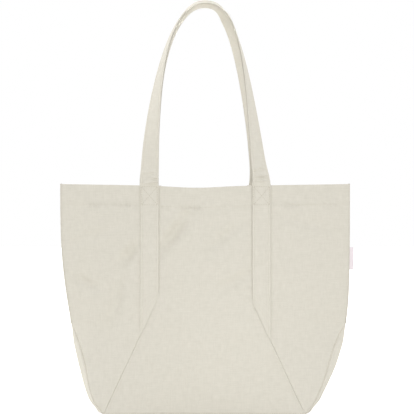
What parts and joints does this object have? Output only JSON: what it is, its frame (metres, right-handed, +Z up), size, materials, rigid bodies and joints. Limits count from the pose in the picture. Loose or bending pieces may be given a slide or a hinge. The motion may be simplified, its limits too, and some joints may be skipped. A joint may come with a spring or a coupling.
{
  "type": "canvas shopper bag",
  "caption": "Boxed-bottom canvas shopper bag with a turned hem, straps sewn down the front and back, two long shoulder handles that swing, and a blank label in the side seam.",
  "frame": {"origin": "middle of the base panel's underside, on the surface that the bag stands on", "axes": "+Z up from the base to the handles, +X to the right seen from the front, -Y out of the front face"},
  "size_m": [0.5071, 0.15, 0.6996],
  "materials": {
    "canvas": "natural plain-weave cotton canvas",
    "thread": "cotton sewing thread",
    "satin": "woven satin ribbon, blank"
  },
  "bodies": {
    "bag": {"front_centre_panel": "canvas", "front_left_panel": "canvas", "front_right_panel": "canvas", "front_hem": "canvas", "front_left_strap": "canvas", "front_right_strap": "canvas", "front_left_box_stitch": "thread", "front_right_box_stitch": "thread", "back_centre_panel": "canvas", "back_left_panel": "canvas", "back_right_panel": "canvas", "back_hem": "canvas", "back_left_strap": "canvas", "back_right_strap": "canvas", "back_left_box_stitch": "thread", "back_right_box_stitch": "thread", "base_panel": "canvas"},
    "front_handle": {"front_handle": "canvas"},
    "back_handle": {"back_handle": "canvas"},
    "side_label": {"side_label": "satin"}
  },
  "joints": [
    {"name": "front_handle_swing", "type": "hinge", "parent": "bag", "child": "front_handle", "pos_m": [0, -0.0447, 0.3836], "axis": [1, 0, 0], "range_deg": [0, 175]},
    {"name": "back_handle_swing", "type": "hinge", "parent": "bag", "child": "back_handle", "pos_m": [0, 0.0447, 0.3836], "axis": [-1, 0, 0], "range_deg": [0, 175]},
    {"name": "side_label_turn", "type": "hinge", "parent": "bag", "child": "side_label", "pos_m": [0.24847, 0, 0.26], "axis": [0.051, 0, 0.9987], "range_deg": [-85, 85]}
  ]
}
